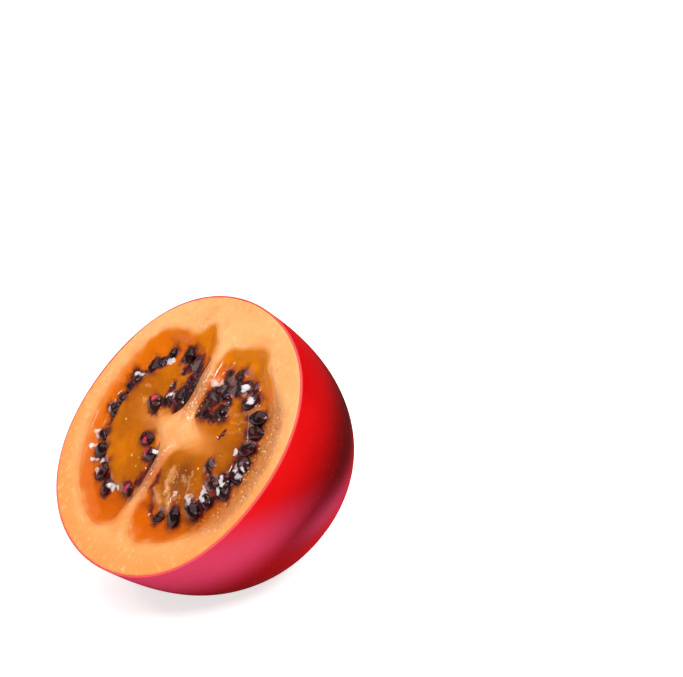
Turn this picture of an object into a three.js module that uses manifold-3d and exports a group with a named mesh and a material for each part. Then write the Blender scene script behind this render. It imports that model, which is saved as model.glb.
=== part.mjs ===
// Half of a red tamarillo, cut straight across its middle and lying on its skin.
// Millimetres, +Z up. The origin is the middle of the small flat spot that it rests on.
//
// Every piece is first built in the fruit's own axes: the cut face lies in Z = 0 and looks
// along +Z, the wall between the two seed chambers runs along Y, and the flesh hangs below,
// down to the blossom end. The whole group is then tipped back on its skin.
import * as THREE from "three";
import { mergeVertices } from "three/addons/utils/BufferGeometryUtils.js";
import Module from "manifold-3d";

const wasm = await Module();
wasm.setup();

// Driving dimensions
const FACE_RADIUS = 23.8; // mean radius of the cut face
const OVALNESS = 1.0; // how far the face is from round
const OVAL_TURN = Math.PI / 4; // phase that leans the long axis to the right of upright
const SQUARENESS = 0.25;
const HALF_LENGTH = 33.1; // cut face to blossom end
const SHOULDER_POWER = 2.5; // fullness of the sides on the way to the blossom end
const SHOULDER_ROOT = 2.1;
const NUB_HEIGHT = 0.7; // small point left by the flower
const NUB_RADIUS = 2.0;
const SKIN_THICKNESS = 0.8;
const GAP = 0.3; // between touching pieces
const CHAMBER_DEPTH = 23;
const CHAMBER_X = 9.5; // middle of a chamber, left or right of the dividing wall
const JELLY_LEVEL = -1.4; // jelly sinks this far below the cut once the fruit is opened
const JELLY_EDGE = 1.1; // rise of the jelly where it clings to the flesh
const EDGE_WIDTH = 0.16; // share of the chamber over which it clings
const LOBE_RISE = 1.0; // seed-bearing lobe above the jelly
const LOBE_EDGE = [0.72, 1.08]; // shares of the lobe's radii between which it drops to the jelly
const WALL_DEPTH = 1.5; // straight part of a chamber's wall, below the cut
const SEED = { length: 3.0, width: 2.0, thickness: 1.5 };
const SEED_LIFT = 0.35; // seed's middle above the surface that it is sunk in
const DRAWS_PER_SEED = 5;
// How much the seeds differ: along their row as a share of a step, out of it in mm, in size as
// a share, and rolled and turned in radians.
const SEED_DRAWS = { along: 0.35, out: 0.7, size: 0.2, roll: 0.5, turn: 0.6 };
const REST_TILT = THREE.MathUtils.degToRad(48); // how far the cut face is tipped from level
const FLAT_DEPTH = 0.45; // skin pressed flat where the half rests

// Mesh fineness
const ROUND_STEPS = 54;
const LENGTH_STEPS = 12;
const CHAMBER_STEPS = 40;
const CHAMBER_RINGS = 4;
const TOP_RINGS = 7;
const SEED_SIDES = 6;
const SEED_RINGS = 4;
const PROUD = 2; // how far a cutting solid stands out past the cut
const REST_SEARCH_STEPS = 720;

// Outlines of the two chambers in the cut face, counter-clockwise, through these points.
const CHAMBER_LEFT = [
  [-1.5, 10], [-1.8, 15.2], [-4.6, 18.5], [-7.2, 15.9], [-13.4, 14.7], [-17.2, 9.5],
  [-19.2, 2.5], [-19, -5], [-16, -12], [-11, -16.8], [-6.3, -18.9], [-2.3, -17.3],
  [-1.0, -11], [-1.3, -4], [-3.8, 0.6], [-1.4, 4.5],
];
const CHAMBER_RIGHT = [
  [0.7, 10], [1.7, 3.9], [5.2, 1.2], [1.6, -2.6], [0.8, -9], [1.4, -16.6],
  [3.2, -17.9], [8.5, -16.2], [14, -12.4], [17.5, -7], [18.9, 0.5], [17.8, 7.5],
  [14.2, 13], [10.2, 16.5], [8.3, 18.6], [4, 17.2], [1.1, 15.8],
];

// The lobe of each chamber, and the arcs along which its seeds sit: centre, radii, first and
// last angle in degrees, how many, and the number that their draws start from.
const LOBE_LEFT = { centre: [-5.8, -0.6], radii: [10.3, 12.3] };
const LOBE_RIGHT = { centre: [6.2, 0], radii: [10.0, 12.6] };
const ROW_LEFT = { centre: [-6.2, -0.6], radii: [9.8, 12.1] };
const ROW_RIGHT = { centre: [5.4, 0.2], radii: [10.2, 12.7] };
const SEEDS_LEFT = [
  { ...ROW_LEFT, from: 80, to: 139, count: 5, draws: 5613 },
  { ...ROW_LEFT, from: 154, to: 182, count: 4, draws: 1294 },
  { ...ROW_LEFT, from: 201, to: 288, count: 5, draws: 6622 },
  { centre: [-6.8, 9], radii: [4.6, 5.7], from: -97, to: -1, count: 5, draws: 1603 },
  { centre: [-7.3, -6.9], radii: [4.9, 5], from: 19, to: 56, count: 2, draws: 4590 },
];
const SEEDS_RIGHT = [
  { ...ROW_RIGHT, from: -92, to: -35, count: 4, draws: 3581 },
  { ...ROW_RIGHT, from: -21, to: 24, count: 6, draws: 2872 },
  { ...ROW_RIGHT, from: 40, to: 98, count: 6, draws: 3709 },
  { centre: [4.8, 7.3], radii: [1.8, 2.7], from: 0, to: 235, count: 5, draws: 2909 },
  { centre: [9.2, -4.3], radii: [2.8, 2.7], from: 8, to: 67, count: 2, draws: 8788 },
];

// Distance from the axis to the skin at angle t, in the plane of the cut.
function faceRadius(t) {
  return (
    FACE_RADIUS -
    OVALNESS * Math.cos(2 * t + OVAL_TURN) -
    SQUARENESS * Math.cos(4 * t + OVAL_TURN / 2)
  );
}

// Share of the face's radius that is left at a share s of the way to the blossom end.
function narrowing(s) {
  return Math.max(0, 1 - s ** SHOULDER_POWER) ** (1 / SHOULDER_ROOT);
}

// A closed mesh from rings of equal length, fanned to a point at each end. The rings run
// counter-clockwise seen from +Z, outwards over the top and then down.
function loft(start, rings, end) {
  const n = rings[0].length;
  const vertices = [start, ...rings.flat(), end];
  const at = (i, j) => 1 + i * n + (j % n);
  const last = vertices.length - 1;
  const faces = [];
  for (let j = 0; j < n; j++) {
    faces.push(0, at(0, j), at(0, j + 1));
    for (let i = 0; i + 1 < rings.length; i++) {
      faces.push(at(i, j), at(i + 1, j), at(i, j + 1));
      faces.push(at(i, j + 1), at(i + 1, j), at(i + 1, j + 1));
    }
    faces.push(last, at(rings.length - 1, j + 1), at(rings.length - 1, j));
  }
  return new THREE.BufferGeometry()
    .setAttribute("position", new THREE.Float32BufferAttribute(vertices.flat(), 3))
    .setIndex(faces);
}

function solid(geometry) {
  const bare = geometry.clone();
  bare.deleteAttribute("normal");
  bare.deleteAttribute("uv");
  const merged = mergeVertices(bare, 1e-4);
  return new wasm.Manifold(
    new wasm.Mesh({
      numProp: 3,
      vertProperties: new Float32Array(merged.attributes.position.array),
      triVerts: new Uint32Array(merged.index.array),
    }),
  );
}

// The largest body of a solid, so that loose scraps drop off and sealed hollows are filled.
function largest(made) {
  return made.decompose().reduce((a, b) => (b.volume() > a.volume() ? b : a));
}

function meshOf(name, made, material) {
  const { vertProperties, triVerts } = made.getMesh();
  const geometry = new THREE.BufferGeometry()
    .setAttribute("position", new THREE.BufferAttribute(vertProperties, 3))
    .setIndex(new THREE.BufferAttribute(triVerts, 1));
  geometry.computeVertexNormals();
  const mesh = new THREE.Mesh(geometry, material);
  mesh.name = name;
  return mesh;
}

// The half fruit, shrunk by inset all over and carried straight up by rise past the cut.
function halfFruit(inset, rise) {
  const ring = (s, z) =>
    Array.from({ length: ROUND_STEPS }, (_, j) => {
      const t = (2 * Math.PI * j) / ROUND_STEPS;
      const r = (faceRadius(t) - inset) * narrowing(s);
      return [r * Math.cos(t), r * Math.sin(t), z(r)];
    });
  const length = HALF_LENGTH - inset;
  const nub = (r) => (inset ? 0 : NUB_HEIGHT * Math.exp(-((r / NUB_RADIUS) ** 2)));
  const rings = rise ? [ring(0, () => rise)] : [];
  for (let i = 0; i < LENGTH_STEPS; i++) {
    const s = Math.sin((Math.PI / 2) * (i / LENGTH_STEPS));
    rings.push(ring(s, (r) => -length * s - nub(r)));
  }
  return solid(loft([0, 0, rise], rings, [0, 0, -length - nub(0)]));
}

// Points along a closed outline, each moved inset closer to the chamber's middle.
function chamberRing(outline, middle, inset) {
  const curve = new THREE.CatmullRomCurve3(
    outline.map(([x, y]) => new THREE.Vector3(x, y, 0)),
    true,
    "centripetal",
  );
  const points = curve.getSpacedPoints(CHAMBER_STEPS).slice(0, CHAMBER_STEPS);
  return points.map(({ x, y }) => {
    const reach = Math.hypot(x - middle, y);
    const keep = (reach - inset) / reach;
    return [middle + (x - middle) * keep, y * keep];
  });
}

// The bowl below a chamber's outline, as rings that narrow towards its floor.
function bowlRings(edge, middle, depth) {
  return Array.from({ length: CHAMBER_RINGS }, (_, i) => {
    const s = Math.sin((Math.PI / 2) * ((i + 1) / (CHAMBER_RINGS + 1)));
    const k = narrowing(s);
    return edge.map(([x, y]) => [middle + (x - middle) * k, y * k, -depth * s]);
  });
}

// The space of a chamber, carried up past the cut.
function chamberSpace(outline, middle, inset, rise) {
  const edge = chamberRing(outline, middle, inset);
  const depth = CHAMBER_DEPTH - inset;
  return solid(
    loft(
      [middle, 0, rise],
      [edge.map(([x, y]) => [x, y, rise]), edge.map(([x, y]) => [x, y, -WALL_DEPTH]),
        ...bowlRings(edge, middle, depth)],
      [middle, 0, -depth],
    ),
  );
}

// Rises smoothly from 0 where x is a to 1 where x is b.
const smooth = (a, b, x) => THREE.MathUtils.smoothstep(x, a, b);

// Height of the pulp at x, y, where reach is 0 in the chamber's middle and 1 at its wall.
function pulpHeight(x, y, reach, lobe) {
  const away = Math.hypot(
    (x - lobe.centre[0]) / lobe.radii[0],
    (y - lobe.centre[1]) / lobe.radii[1],
  );
  return (
    JELLY_LEVEL +
    JELLY_EDGE * smooth(1 - EDGE_WIDTH, 1, reach) +
    LOBE_RISE * (1 - smooth(...LOBE_EDGE, away)) * (1 - smooth(1 - EDGE_WIDTH, 1, reach))
  );
}

// A draw between -1 and 1 that is the same on every run.
function draw(k) {
  const x = Math.sin(k * 12.9898 + 4.1414) * 43758.5453;
  return 2 * (x - Math.floor(x)) - 1;
}

// Seeds stand side by side along their arc, points outwards, each a little out of line.
function seedSolids(rows, heightAt) {
  const made = [];
  for (const { centre, radii, from, to, count, draws } of rows) {
    const step = (to - from) / (count - 1);
    for (let i = 0; i < count; i++) {
      const k = draws + i * DRAWS_PER_SEED;
      const along = SEED_DRAWS.along * step * draw(k);
      const t = THREE.MathUtils.degToRad(from + i * step + along);
      const out = 1 + (SEED_DRAWS.out * draw(k + 1)) / radii[0];
      const x = centre[0] + radii[0] * out * Math.cos(t);
      const y = centre[1] + radii[1] * out * Math.sin(t);
      const size = 1 + SEED_DRAWS.size * draw(k + 2);
      const outwards = Math.atan2(radii[1] * Math.sin(t), radii[0] * Math.cos(t));
      const seed = new THREE.SphereGeometry(0.5, SEED_SIDES, SEED_RINGS);
      seed.rotateZ(Math.PI / 2);
      seed.scale(SEED.length * size, SEED.width * size, SEED.thickness * size);
      seed.rotateX(SEED_DRAWS.roll * draw(k + 3));
      seed.rotateZ(outwards + SEED_DRAWS.turn * draw(k + 4));
      seed.translate(x, y, heightAt(x, y) + SEED_LIFT);
      made.push(solid(seed));
    }
  }
  return made;
}

// The pulp of one chamber: a bowlful of jelly round a raised lobe, with its seeds sunk in.
function pulp(outline, middle, lobe, rows) {
  const edge = chamberRing(outline, middle, GAP);
  const reachOf = (x, y) => {
    const turn = Math.atan2(y, x - middle);
    let nearest = edge[0];
    let least = Infinity;
    for (const p of edge) {
      const off = Math.abs(Math.sin((Math.atan2(p[1], p[0] - middle) - turn) / 2));
      if (off < least) {
        least = off;
        nearest = p;
      }
    }
    return Math.hypot(x - middle, y) / Math.hypot(nearest[0] - middle, nearest[1]);
  };
  const top = Array.from({ length: TOP_RINGS }, (_, i) => {
    const k = (i + 1) / TOP_RINGS;
    return edge.map(([ex, ey]) => {
      const x = middle + (ex - middle) * k;
      const y = ey * k;
      return [x, y, pulpHeight(x, y, k, lobe)];
    });
  });
  const depth = CHAMBER_DEPTH - GAP;
  let made = solid(
    loft(
      [middle, 0, pulpHeight(middle, 0, 0, lobe)],
      [...top, ...bowlRings(edge, middle, depth)],
      [middle, 0, -depth],
    ),
  );
  const heightAt = (x, y) => pulpHeight(x, y, Math.min(1, reachOf(x, y)), lobe);
  for (const seed of seedSolids(rows, heightAt)) made = made.add(seed);
  return largest(made.intersect(chamberSpace(outline, middle, GAP, SEED.length)));
}

// The lowest point of the skin once the fruit is tipped back.
function restingPoint() {
  const lowest = new THREE.Vector3(0, 0, Infinity);
  const p = new THREE.Vector3();
  const axis = new THREE.Vector3(1, 0, 0);
  for (let j = 0; j < REST_SEARCH_STEPS; j++) {
    const t = (2 * Math.PI * j) / REST_SEARCH_STEPS;
    for (let i = 0; i <= REST_SEARCH_STEPS / 4; i++) {
      const s = Math.sin((2 * Math.PI * i) / REST_SEARCH_STEPS);
      const r = faceRadius(t) * narrowing(s);
      p.set(r * Math.cos(t), r * Math.sin(t), -HALF_LENGTH * s).applyAxisAngle(axis, REST_TILT);
      if (p.z < lowest.z) lowest.copy(p);
    }
  }
  return lowest;
}

const resting = restingPoint();
const fruit = new THREE.Group();
fruit.rotation.x = REST_TILT;
fruit.position.set(-resting.x, -resting.y, -(resting.z + FLAT_DEPTH));
fruit.updateMatrix();

// The surface that the half lies on, seen from the fruit's own axes.
function floorBlock() {
  const size = 60;
  const block = new THREE.BoxGeometry(size, size, size).translate(0, 0, -size / 2);
  return solid(block.applyMatrix4(fruit.matrix.clone().invert()));
}

const skin = new THREE.MeshStandardMaterial({ color: 0xb5101c, roughness: 0.28, metalness: 0 });
const orange = new THREE.MeshStandardMaterial({ color: 0xfca452, roughness: 0.42, metalness: 0 });
const amber = new THREE.MeshStandardMaterial({ color: 0xd9700c, roughness: 0.25, metalness: 0 });

function skinCup() {
  return halfFruit(0, 0).subtract(halfFruit(SKIN_THICKNESS, PROUD)).subtract(floorBlock());
}

// Outer flesh, dividing wall and core in one, with its two chambers open at the cut.
function flesh() {
  return halfFruit(SKIN_THICKNESS + GAP, 0)
    .subtract(chamberSpace(CHAMBER_LEFT, -CHAMBER_X, 0, PROUD))
    .subtract(chamberSpace(CHAMBER_RIGHT, CHAMBER_X, 0, PROUD));
}

fruit.add(
  meshOf("skin", skinCup(), skin),
  meshOf("flesh", flesh(), orange),
  meshOf("pulp_left", pulp(CHAMBER_LEFT, -CHAMBER_X, LOBE_LEFT, SEEDS_LEFT), amber),
  meshOf("pulp_right", pulp(CHAMBER_RIGHT, CHAMBER_X, LOBE_RIGHT, SEEDS_RIGHT), amber),
);

const part = new THREE.Group();
part.add(fruit);
export default part;
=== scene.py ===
# %% [markdown]
# # Half of a red tamarillo
# A tamarillo, or tree tomato, is an egg-shaped fruit with a thin bitter skin. Cut across its middle it
# shows pale orange flesh, a wall that parts it in two, and on each side a lobe that carries dark seeds
# in wet jelly. This scene dresses the four plain solids of such a half: skin, flesh and two pulps.
# Sizes are in millimetres in the fruit's own axes, and become metres when a piece is placed.

# %% Load the solids
import math

import bpy
import numpy as np
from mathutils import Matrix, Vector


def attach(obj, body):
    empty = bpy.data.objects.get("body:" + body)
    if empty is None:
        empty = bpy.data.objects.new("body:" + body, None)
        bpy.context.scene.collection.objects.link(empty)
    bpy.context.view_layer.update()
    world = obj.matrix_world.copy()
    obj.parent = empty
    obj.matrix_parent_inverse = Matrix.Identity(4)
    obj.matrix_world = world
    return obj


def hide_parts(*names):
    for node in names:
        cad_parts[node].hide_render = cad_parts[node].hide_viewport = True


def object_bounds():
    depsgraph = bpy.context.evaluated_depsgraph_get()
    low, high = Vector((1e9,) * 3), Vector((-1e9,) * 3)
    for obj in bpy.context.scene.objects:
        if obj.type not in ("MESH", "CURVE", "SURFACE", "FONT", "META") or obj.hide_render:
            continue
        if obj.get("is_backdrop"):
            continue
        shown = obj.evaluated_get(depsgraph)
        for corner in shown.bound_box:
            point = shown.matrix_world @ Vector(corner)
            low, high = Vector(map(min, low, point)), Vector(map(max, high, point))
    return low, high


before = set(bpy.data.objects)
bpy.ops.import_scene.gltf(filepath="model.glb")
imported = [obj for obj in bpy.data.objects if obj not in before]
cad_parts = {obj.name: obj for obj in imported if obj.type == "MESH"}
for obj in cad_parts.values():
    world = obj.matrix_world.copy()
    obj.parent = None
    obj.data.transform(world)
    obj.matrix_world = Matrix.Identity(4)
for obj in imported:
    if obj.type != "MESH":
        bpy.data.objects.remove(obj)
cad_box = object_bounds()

# %% [markdown]
# ## The fruit's own axes
# The half lies tipped back on its skin, so it is far easier to shape it in axes that belong to the cut
# face: u to the right, v up the face along the dividing wall, w straight out of the cut. They are found
# from the skin's solid: its point farthest down is the blossom end, and the cut lies right above it.

# %% Axes of the cut face
MM = 0.001
REST_TILT = math.radians(48)
RIGHT = np.array([1.0, 0.0, 0.0])
UPHILL = np.array([0.0, math.cos(REST_TILT), math.sin(REST_TILT)])
OUTWARD = np.array([0.0, -math.sin(REST_TILT), math.cos(REST_TILT)])


def node_points(name):
    """Vertices of a solid as rows of x, y, z in metres."""
    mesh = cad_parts[name].data
    flat = np.empty(len(mesh.vertices) * 3, np.float32)
    mesh.vertices.foreach_get("co", flat)
    return flat.reshape(-1, 3).astype(float)


skin_points = node_points("skin")
above_cut = skin_points @ OUTWARD
blossom_end = skin_points[above_cut.argmin()]
FACE_CENTRE = blossom_end + (above_cut.max() - above_cut.min()) * OUTWARD
print("middle of the cut face, mm:", np.round(FACE_CENTRE / MM, 2))


def place(u, v, w):
    """Face centre plus u to the right, v uphill and w outwards, given in mm and returned in metres."""
    u, v, w = np.broadcast_arrays(u, v, w)
    return FACE_CENTRE + MM * (u[..., None] * RIGHT + v[..., None] * UPHILL + w[..., None] * OUTWARD)


# %% [markdown]
# ## Small tools
# A few helpers are used all over: a smooth step, a bell curve, a soft noise for natural unevenness, and
# a maker of meshes. Blender's noise textures only show in a material, so shapes use their own noise.

# %% Smooth step, bell curve and soft noise
def smooth(a, b, x):
    """Rises from 0 at a to 1 at b as 3 t squared minus 2 t cubed, where t is the share of the way."""
    t = np.clip((x - a) / (b - a), 0, 1)
    return t * t * (3 - 2 * t)


def bell(distance, width):
    """1 at no distance, falling off as e to the minus (distance over width) squared."""
    return np.exp(-((distance / width) ** 2))


LATTICE = 64  # draws along each side of a noise's square before it repeats


def soft_noise(x, y, seed):
    """Seeded draws from -1 to 1 stand on a square lattice; a point takes a smooth mean of its four."""
    size = LATTICE
    draws = np.random.default_rng(seed).uniform(-1, 1, (size, size))
    i, j = np.floor(x).astype(int), np.floor(y).astype(int)
    a, b = smooth(0, 1, x - i), smooth(0, 1, y - j)
    near = draws[i % size, j % size] * (1 - a) + draws[(i + 1) % size, j % size] * a
    far = draws[i % size, (j + 1) % size] * (1 - a) + draws[(i + 1) % size, (j + 1) % size] * a
    return near * (1 - b) + far * b


# %% Mesh maker
def ring_faces(rows, columns):
    """Four corners of every cell between rows of points that each close on themselves."""
    i, j = np.meshgrid(np.arange(rows - 1), np.arange(columns), indexing="ij")
    right = (j + 1) % columns
    corners = [i * columns + j, i * columns + right, (i + 1) * columns + right, (i + 1) * columns + j]
    return np.stack(corners, -1).reshape(-1, 4)


def fan_faces(tip, ring):
    """Triangles from one point to each step of a closed ring."""
    return np.stack([np.full(len(ring), tip), ring, np.roll(ring, -1)], -1)


def signed_volume(points, faces):
    """A sixth of the triple product of each triangle's corners, summed: below 0 if inside out."""
    total = 0.0
    for k in range(1, faces.shape[1] - 1):
        a, b, c = (points[faces[:, m]] for m in (0, k, k + 1))
        total += np.einsum("ij,ij->i", a, np.cross(b, c)).sum() / 6
    return total


def new_piece(name, points, face_sets, nodes, values):
    """A closed mesh from points in metres and arrays of faces, turned round if it is inside out.
    It stands for the given nodes, and values holds its attributes, one number or vector a point."""
    if sum(signed_volume(points - points.mean(0), faces) for faces in face_sets) < 0:
        face_sets = [faces[:, ::-1] for faces in face_sets]
    corners = np.concatenate([faces.ravel() for faces in face_sets])
    sizes = np.concatenate([np.full(len(faces), faces.shape[1]) for faces in face_sets])
    mesh = bpy.data.meshes.new(name)
    mesh.vertices.add(len(points))
    mesh.vertices.foreach_set("co", points.astype(np.float32).ravel())
    mesh.loops.add(len(corners))
    mesh.loops.foreach_set("vertex_index", corners.astype(np.int32))
    mesh.polygons.add(len(sizes))
    mesh.polygons.foreach_set("loop_start", (np.cumsum(sizes) - sizes).astype(np.int32))
    mesh.polygons.foreach_set("use_smooth", np.ones(len(sizes), bool))
    mesh.update(calc_edges=True)
    for key, value in values.items():
        kind = "FLOAT" if value.ndim == 1 else "FLOAT_VECTOR"
        stored = mesh.attributes.new(key, kind, "POINT").data
        stored.foreach_set("value" if value.ndim == 1 else "vector", value.astype(np.float32).ravel())
    piece = bpy.data.objects.new(name, mesh)
    bpy.context.scene.collection.objects.link(piece)
    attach(piece, "root")
    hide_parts(*nodes)
    print(name, "has", int((sizes - 2).sum()), "triangles")
    return piece


# %% [markdown]
# ## Material tools
# A finish here is one Principled shader with a few textures in front. Small helpers keep the recipes
# short: they add a node and join its inputs, lay colours over each other by a share, turn a value into a
# smooth step, read an area that was stored on the mesh, and give shading relief.

# %% Material helpers
def start_material(name, settings):
    """A new material and its Principled shader, with the given sockets set."""
    made = bpy.data.materials.new(name)
    made.use_nodes = True
    shader = made.node_tree.nodes["Principled BSDF"]
    for socket, value in settings.items():
        shader.inputs[socket].default_value = value
    return made, made.node_tree, shader


def add(tree, kind, inputs, **settings):
    """A node of that kind. Inputs, by name or number, take a number, a colour or another socket."""
    made = tree.nodes.new("ShaderNode" + kind)
    for key, value in settings.items():
        setattr(made, key, value)
    for key, value in inputs.items():
        if isinstance(value, bpy.types.NodeSocket):
            tree.links.new(value, made.inputs[key])
        else:
            made.inputs[key].default_value = value
    return made


def mixed(tree, share, a, b):
    """Colour b times the share, plus a times one minus the share."""
    return add(tree, "Mix", {0: share, 6: a, 7: b}, data_type="RGBA").outputs[2]


def layered(tree, colour, *layers):
    """The colour, covered by each layer in turn: a layer is the share that it covers and its colour."""
    for share, cover in layers:
        colour = mixed(tree, share, colour, cover)
    return colour


def areas_of(tree, *names):
    """The areas stored on the mesh under these names, as sockets."""
    return {name: add(tree, "Attribute", {}, attribute_name=name).outputs["Fac"] for name in names}


def times(tree, a, b):
    """a multiplied by b."""
    return add(tree, "Math", {0: a, 1: b}, operation="MULTIPLY").outputs[0]


def ramped(tree, value, low, high, to_low=0.0, to_high=1.0):
    """A smooth step of value from low to high, given as to_low to to_high."""
    inputs = {"Value": value, "From Min": low, "From Max": high, "To Min": to_low, "To Max": to_high}
    return add(tree, "MapRange", inputs, interpolation_type="SMOOTHSTEP").outputs[0]


def noise(tree, vector, scale, detail=2.0, roughness=0.5):
    """Soft patches. The scale is how many fit in a metre: 100 makes them about a centimetre large."""
    inputs = {"Vector": vector, "Scale": scale, "Detail": detail, "Roughness": roughness}
    return add(tree, "TexNoise", inputs).outputs["Fac"]


def voronoi(tree, vector, scale, feature="F1"):
    """Cells round scattered points: Distance is 0 at each point, and Color differs by the cell."""
    return add(tree, "TexVoronoi", {"Vector": vector, "Scale": scale}, feature=feature).outputs


def object_position(tree):
    """Where the shaded point lies in the piece's own axes, in metres."""
    return add(tree, "TexCoord", {}).outputs["Object"]


def bump(tree, height, distance, strength=1.0, normal=None):
    """Shading relief: height from 0 to 1 stands for distance in metres."""
    inputs = {"Height": height, "Distance": distance, "Strength": strength}
    if normal is not None:
        inputs["Normal"] = normal
    return add(tree, "Bump", inputs).outputs["Normal"]


def feed(tree, shader, values):
    """Joins each value to the shader's socket of that name."""
    for socket, value in values.items():
        tree.links.new(value, shader.inputs[socket])


def rgb(red, green, blue):
    """A colour picked on a screen, from 0 to 255, as the linear numbers that Blender mixes. The curve
    between them is a straight line near black and a power of 2.4 above it."""
    screen = np.array([red, green, blue]) / 255
    linear = np.where(screen <= 0.04045, screen / 12.92, ((screen + 0.055) / 1.055) ** 2.4)
    return (*linear.tolist(), 1.0)


def dress(pieces, finish):
    """Gives each piece its finish."""
    for piece in pieces:
        piece.data.materials.append(finish)
    print(finish.name, "has", len(finish.node_tree.nodes), "nodes, on", [piece.name for piece in pieces])


# %% [markdown]
# ## Skin
# The skin is a closed thin shell. Its outer surface is the face's outline, drawn in towards the blossom
# end by a superellipse, and its edge shows round the cut as a thin line. A sphere could be scaled to
# about this shape, but a formula of angle and length gives the fuller sides and the small nub.

# %% Shape of the skin
FACE_RADIUS = 23.8
OVALNESS = 1.0
OVAL_TURN = math.pi / 4
SQUARENESS = 0.25
HALF_LENGTH = 33.1
SHOULDER_POWER = 2.5
SHOULDER_ROOT = 2.1
NUB_HEIGHT = 0.7
NUB_RADIUS = 2.0
BROAD_DENTS, NARROW_DENTS = 0.16, 0.1
SKIN_THICKNESS = 0.26


def face_radius(t):
    """Mean radius less one wave round twice, for the oval, and one round four times."""
    return FACE_RADIUS - OVALNESS * np.cos(2 * t + OVAL_TURN) - SQUARENESS * np.cos(4 * t + OVAL_TURN / 2)


def narrowing(s):
    """(1 minus s to the shoulder power) to the power of one over the shoulder root."""
    return np.maximum(0, 1 - s**SHOULDER_POWER) ** (1 / SHOULDER_ROOT)


def skin_ring(t, s, inset):
    """u, v and w of the skin at angle t and share s of the length, moved in by inset. The radius is the
    face's times the narrowing, and w is minus s times the length, less a small bell for the nub. Two
    slow waves round the fruit, strongest halfway along it, keep the sides from being perfectly round."""
    r = (face_radius(t) - inset) * narrowing(s)
    dents = BROAD_DENTS * np.sin(3 * t + 1.3) + NARROW_DENTS * np.sin(5 * t + 0.4 + 2 * s)
    r = r + dents * np.sin(math.pi * s) ** 2
    nub = NUB_HEIGHT * bell(r, NUB_RADIUS) * smooth(0.9, 1, s)
    return r * np.cos(t), r * np.sin(t), -(HALF_LENGTH - inset) * s - nub


def lengthwise(count):
    """Shares of the length, the sines of equal steps of a quarter turn. That crowds them towards the
    blossom end, where the surface turns fastest."""
    return np.sin(np.linspace(0, math.pi / 2, count, endpoint=False))


# %% [markdown]
# The inner and the outer surface are rows of rings that meet in a rounded lip at the cut, and each is
# closed at the blossom end by one point. Where the soft fruit rests it is pressed flat.

# %% Points of the skin
SKIN_COLUMNS = 320
OUTER_ROWS = 110
INNER_ROWS = 36
LIP_ROUNDING = 0.12
INNER_LIP_DROP = 0.03

angles = np.linspace(0, 2 * math.pi, SKIN_COLUMNS, endpoint=False)
outer = skin_ring(angles, lengthwise(OUTER_ROWS)[:, None], 0.0)
inner = skin_ring(angles, lengthwise(INNER_ROWS)[:, None], SKIN_THICKNESS)
outer[2][0] = -LIP_ROUNDING
inner[2][0] = -INNER_LIP_DROP
lip_radius = face_radius(angles) - LIP_ROUNDING
lip = (lip_radius * np.cos(angles), lip_radius * np.sin(angles), np.zeros_like(angles))
rows = [np.concatenate([i[::-1], [l], o]) for i, l, o in zip(inner, lip, outer)]
tips = np.array([[0, 0, -(HALF_LENGTH - SKIN_THICKNESS)], [0, 0, -(HALF_LENGTH + NUB_HEIGHT)]])
u, v, w = (np.append(row, tip) for row, tip in zip(rows, tips.T))
points = place(u, v, w)
lowest = np.zeros(len(points))
lowest[: INNER_ROWS * SKIN_COLUMNS] = lowest[-2] = SKIN_THICKNESS * MM
points[:, 2] = np.maximum(points[:, 2], lowest)
print("skin points:", len(points), "of which pressed flat:", int((points[:, 2] == lowest).sum()))

# %% [markdown]
# The skin's colour changes over large soft areas, so they are stored with its points: painted shade in
# deep red on the far side and in wine red underneath, and a painted pink reflection low beside the cut.

# %% Skin mesh and its colour areas
row_count = len(rows[0])
inner_tip, outer_tip = len(points) - 2, len(points) - 1
first_ring = np.arange(SKIN_COLUMNS)
skin_faces = [
    ring_faces(row_count, SKIN_COLUMNS),
    fan_faces(inner_tip, first_ring),
    fan_faces(outer_tip, first_ring + (row_count - 1) * SKIN_COLUMNS)[:, ::-1],
]
height = points[:, 2] / MM
along = -w / HALF_LENGTH
# Painted pink reflection of the bright floor: a band low beside the cut, and a patch on the right.
low_reflection = smooth(27, 17, height) * smooth(0.5, 0.15, along) * smooth(-14, 4, u)
side_reflection = 0.65 * bell(height - 18, 4) * bell(-w - 19, 5) * smooth(8, 14, u)
# Painted shade: deep red towards the blossom end, stronger higher up and to the right.
far_shade = smooth(0, 0.5, along) * (1 - 0.8 * smooth(0.5, 0.8, along))
skin_areas = {
    "scar": bell(np.hypot(u, v), 1.3) * smooth(-HALF_LENGTH + 3, -HALF_LENGTH, w),
    "lip": smooth(-0.5, -0.1, w),
    "far": far_shade * (0.5 + 0.5 * smooth(8, 20, height)) * (0.25 + 0.75 * smooth(-6, 10, u)),
    # Painted shade: wine red low down, near the floor.
    "under": smooth(17, 1, height),
    "painted_sheen": np.maximum(low_reflection, side_reflection),
}
skin_piece = new_piece("tamarillo_skin", points, skin_faces, ["skin"], skin_areas)
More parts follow.
